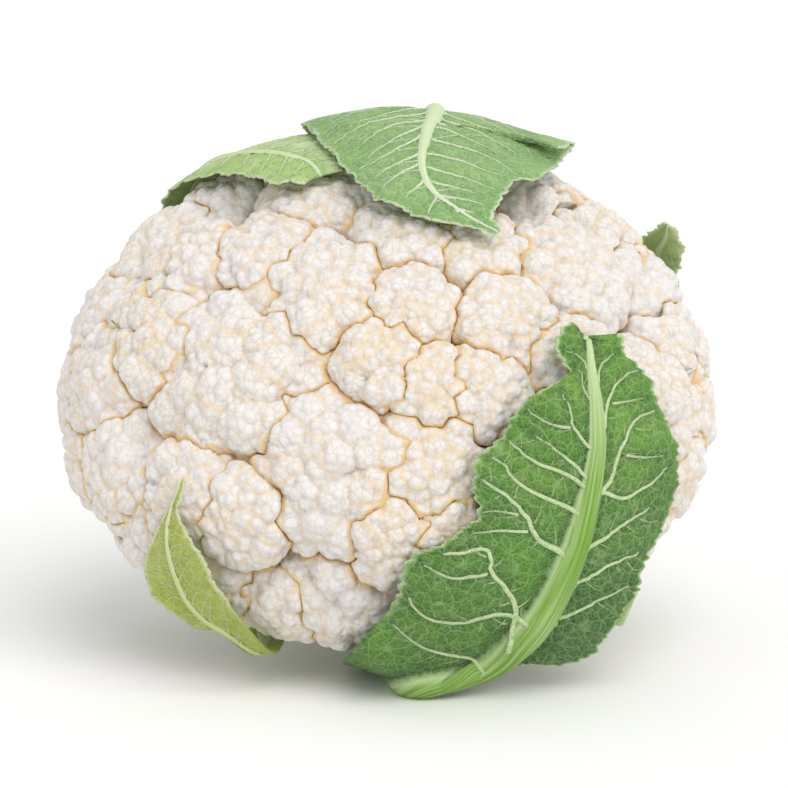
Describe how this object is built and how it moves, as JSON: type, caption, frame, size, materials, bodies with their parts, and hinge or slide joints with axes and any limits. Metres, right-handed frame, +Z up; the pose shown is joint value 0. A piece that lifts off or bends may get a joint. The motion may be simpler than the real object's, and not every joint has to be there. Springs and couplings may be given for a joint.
{
  "type": "cauliflower",
  "caption": "Whole cauliflower head lying tipped forward: a domed creamy curd of close florets on a short cut stalk, with a few trimmed green leaves folded against it.",
  "frame": {"origin": "On the resting surface, under the middle of the whole plant's box.", "axes": "+Z up from the resting surface; +X across the widest way of the curd; -Y is the front, where the curd's crown leans and the large leaf stands, and the stalk is at +Y."},
  "size_m": [0.1787, 0.1534, 0.146],
  "materials": {
    "curd": "matte, fine granular, creamy white with ochre in the creases",
    "stalk": "smooth, waxy, pale green with a dry cut end",
    "leaf": "waxy, satin, crinkled green with pale veins"
  },
  "bodies": {
    "root": {"stalk": "stalk", "floret_01": "curd", "floret_02": "curd", "floret_03": "curd", "floret_04": "curd", "floret_05": "curd", "floret_06": "curd", "floret_07": "curd", "floret_08": "curd", "floret_09": "curd", "floret_10": "curd", "floret_11": "curd", "floret_12": "curd", "floret_13": "curd", "floret_14": "curd", "floret_15": "curd", "floret_16": "curd", "floret_17": "curd", "floret_18": "curd", "floret_19": "curd", "floret_20": "curd", "floret_21": "curd", "floret_22": "curd", "floret_23": "curd", "floret_24": "curd", "floret_25": "curd", "floret_26": "curd", "floret_27": "curd", "floret_28": "curd", "floret_29": "curd", "floret_30": "curd", "floret_31": "curd", "floret_32": "curd", "floret_33": "curd", "floret_34": "curd", "floret_35": "curd", "floret_36": "curd", "floret_37": "curd", "floret_38": "curd", "floret_39": "curd", "floret_40": "curd", "floret_41": "curd", "floret_42": "curd", "floret_43": "curd", "floret_44": "curd", "floret_45": "curd", "floret_46": "curd", "floret_47": "curd", "floret_48": "curd", "floret_49": "curd", "floret_50": "curd", "floret_51": "curd", "floret_52": "curd", "leaf_front_right": "leaf", "leaf_front_left": "leaf", "leaf_low_right": "leaf", "leaf_back_right": "leaf", "leaf_top": "leaf", "leaf_top_left": "leaf", "leaf_back_left": "leaf"}
  },
  "joints": []
}
